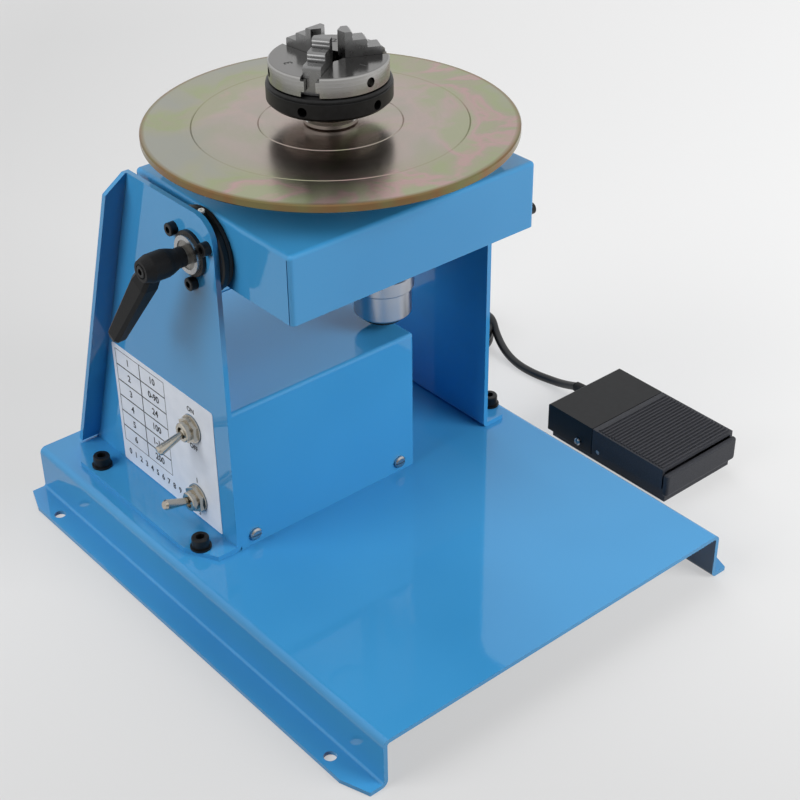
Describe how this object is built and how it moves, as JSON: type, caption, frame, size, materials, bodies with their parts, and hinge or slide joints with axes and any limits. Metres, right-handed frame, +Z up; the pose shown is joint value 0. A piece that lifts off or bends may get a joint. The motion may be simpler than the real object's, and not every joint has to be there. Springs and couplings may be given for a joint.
{
  "type": "welding positioner",
  "caption": "Bench welding positioner: motor-driven round table with a self-centring jaw chuck on a tilting head between sheet-metal uprights, with a control box and foot pedal.",
  "frame": {"origin": "centre of the base's footprint, on the surface it stands on", "axes": "X from the switch side to the far upright, Y from the open near edge of the base to its back, Z up"},
  "size_m": [0.36, 0.3754, 0.3086],
  "materials": {
    "blue_enamel": "gloss",
    "zinc_yellow": "satin, yellow passivated",
    "bright_steel": "ground",
    "black_oxide": "satin",
    "zinc_plate": "bright",
    "motor_silver": "satin",
    "black_moulding": "matte",
    "lever_moulding": "matte",
    "rubber_black": "matte",
    "board_green": "satin",
    "cast_housing": "satin"
  },
  "bodies": {
    "root": {"base_plate": "blue_enamel", "left_upright": "blue_enamel", "right_upright": "blue_enamel", "upright_foot_fasteners": "black_oxide", "left_pivot_flange": "black_oxide", "right_pivot_flange": "black_oxide", "pivot_flange_screws": "black_oxide", "pivot_thrust_washers": "black_oxide", "lever_washer": "zinc_plate", "control_box_cover": "blue_enamel", "cover_strips": "blue_enamel", "control_box_screws": "zinc_plate", "power_supply": "black_moulding", "speed_board": "board_green", "pedal_socket": "zinc_plate", "mains_inlet": "black_moulding", "toggle_bodies": "zinc_plate", "toggle_nuts": "zinc_plate", "pedal_tray": "black_moulding", "pedal_rear_cover": "black_moulding", "pedal_feet": "rubber_black", "pedal_hinge_pin": "zinc_plate", "pedal_cover_screws": "zinc_plate", "pedal_switch": "black_moulding", "pedal_cord_boot": "rubber_black", "pedal_cord_rear_run": "rubber_black", "pedal_cord_front_run": "rubber_black", "pedal_cord_coil": "rubber_black", "pedal_plug": "black_moulding"},
    "tilt_head": {"tilt_box": "blue_enamel", "left_trunnion": "bright_steel", "right_trunnion": "bright_steel", "pivot_lock_nut": "zinc_plate", "bearing_housing": "cast_housing", "spindle_bearing_outers": "bright_steel", "head_screws": "black_oxide", "motor_plate": "motor_silver", "motor_posts": "motor_silver", "motor_gearbox": "motor_silver", "motor_can": "motor_silver", "motor_end_cap": "black_moulding"},
    "spindle": {"spindle_shaft": "bright_steel", "spindle_bearing_inners": "bright_steel", "table_disc": "zinc_yellow", "spindle_wheel": "bright_steel", "wheel_fastener": "zinc_plate", "chuck_hub": "bright_steel", "chuck_back_plate": "bright_steel", "chuck_body": "bright_steel"},
    "pinion": {"motor_pinion": "bright_steel"},
    "scroll": {"scroll_ring": "black_oxide"},
    "jaw_1": {"chuck_jaw_1": "bright_steel"},
    "jaw_2": {"chuck_jaw_2": "bright_steel"},
    "jaw_3": {"chuck_jaw_3": "bright_steel"},
    "clamp": {"clamp_lever": "lever_moulding", "lever_screw": "zinc_plate"},
    "upper_toggle": {"upper_toggle_lever": "zinc_plate"},
    "lower_toggle": {"lower_toggle_lever": "zinc_plate"},
    "tread": {"pedal_tread": "black_moulding"}
  },
  "joints": [
    {"name": "head_tilt", "type": "hinge", "parent": "root", "child": "tilt_head", "pos_m": [0, 0.0215, 0.2137], "axis": [1, 0, 0], "range_deg": [0, 90]},
    {"name": "table_turn", "type": "hinge", "parent": "tilt_head", "child": "spindle", "pos_m": [0, 0.0215, 0.26], "axis": [0, 0, 1], "continuous": true},
    {"name": "pinion_turn", "type": "hinge", "parent": "tilt_head", "child": "pinion", "pos_m": [0.03312, 0.0215, 0.2], "axis": [0, 0, 1], "continuous": true},
    {"name": "scroll_turn", "type": "hinge", "parent": "spindle", "child": "scroll", "pos_m": [0, 0.0215, 0.278], "axis": [0, 0, 1], "range_deg": [-360, 720]},
    {"name": "jaw_1_slide", "type": "slide", "parent": "spindle", "child": "jaw_1", "axis": [-0.829, -0.5592, 0], "range_m": [-0.004, 0.008]},
    {"name": "jaw_2_slide", "type": "slide", "parent": "spindle", "child": "jaw_2", "axis": [0.8988, -0.4384, 0], "range_m": [-0.004, 0.008]},
    {"name": "jaw_3_slide", "type": "slide", "parent": "spindle", "child": "jaw_3", "axis": [-0.0698, 0.9976, 0], "range_m": [-0.004, 0.008]},
    {"name": "clamp_turn", "type": "hinge", "parent": "root", "child": "clamp", "pos_m": [-0.11, 0.0215, 0.2137], "axis": [1, 0, 0], "range_deg": [-90, 90]},
    {"name": "upper_toggle_throw", "type": "hinge", "parent": "root", "child": "upper_toggle", "pos_m": [-0.0964, 0.0378, 0.097], "axis": [0, 1, 0], "range_deg": [0, 33]},
    {"name": "lower_toggle_throw", "type": "hinge", "parent": "root", "child": "lower_toggle", "pos_m": [-0.0964, 0.0378, 0.0492], "axis": [0, 1, 0], "range_deg": [-33, 0]},
    {"name": "tread_press", "type": "hinge", "parent": "root", "child": "tread", "pos_m": [0.1828, -0.047, 0.013], "axis": [1, 0, 0], "range_deg": [0, 4], "stiffness_Nm_per_rad": 3, "springref_deg": -2.86}
  ],
  "couplings": [
    {"joint": "pinion_turn", "follows": "table_turn", "ratio": -2.6667},
    {"joint": "jaw_1_slide", "follows": "scroll_turn", "m_per_rad": 0.00063662},
    {"joint": "jaw_2_slide", "follows": "scroll_turn", "m_per_rad": 0.00063662},
    {"joint": "jaw_3_slide", "follows": "scroll_turn", "m_per_rad": 0.00063662}
  ]
}
